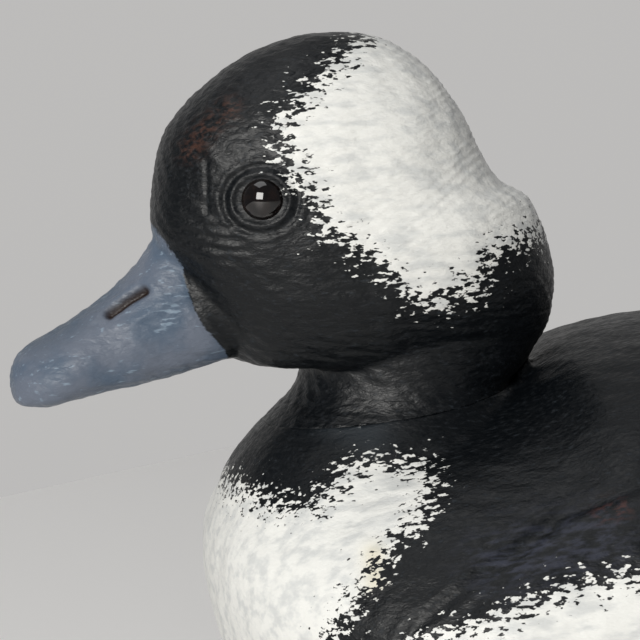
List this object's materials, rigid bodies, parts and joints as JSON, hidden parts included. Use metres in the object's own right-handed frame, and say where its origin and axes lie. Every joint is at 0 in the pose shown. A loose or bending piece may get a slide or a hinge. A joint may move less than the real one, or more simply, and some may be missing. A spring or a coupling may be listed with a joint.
{
  "type": "carved wooden duck",
  "caption": "Carved and painted wooden diving-duck decoy with a black and white head, blue-grey bill, glass eyes and a flat underside",
  "frame": {"origin": "centre of the bounding box, on the flat underside", "axes": "bill to -Y, tail to +Y, the bird's left side to +X, up +Z"},
  "size_m": [0.1358, 0.285, 0.1565],
  "materials": {
    "body_paint": "painted, satin",
    "head_paint": "painted, satin",
    "eye_glass": "polished dark glass"
  },
  "bodies": {
    "root": {"body": "body_paint", "head": "head_paint", "left_eye": "eye_glass", "right_eye": "eye_glass"}
  },
  "joints": []
}
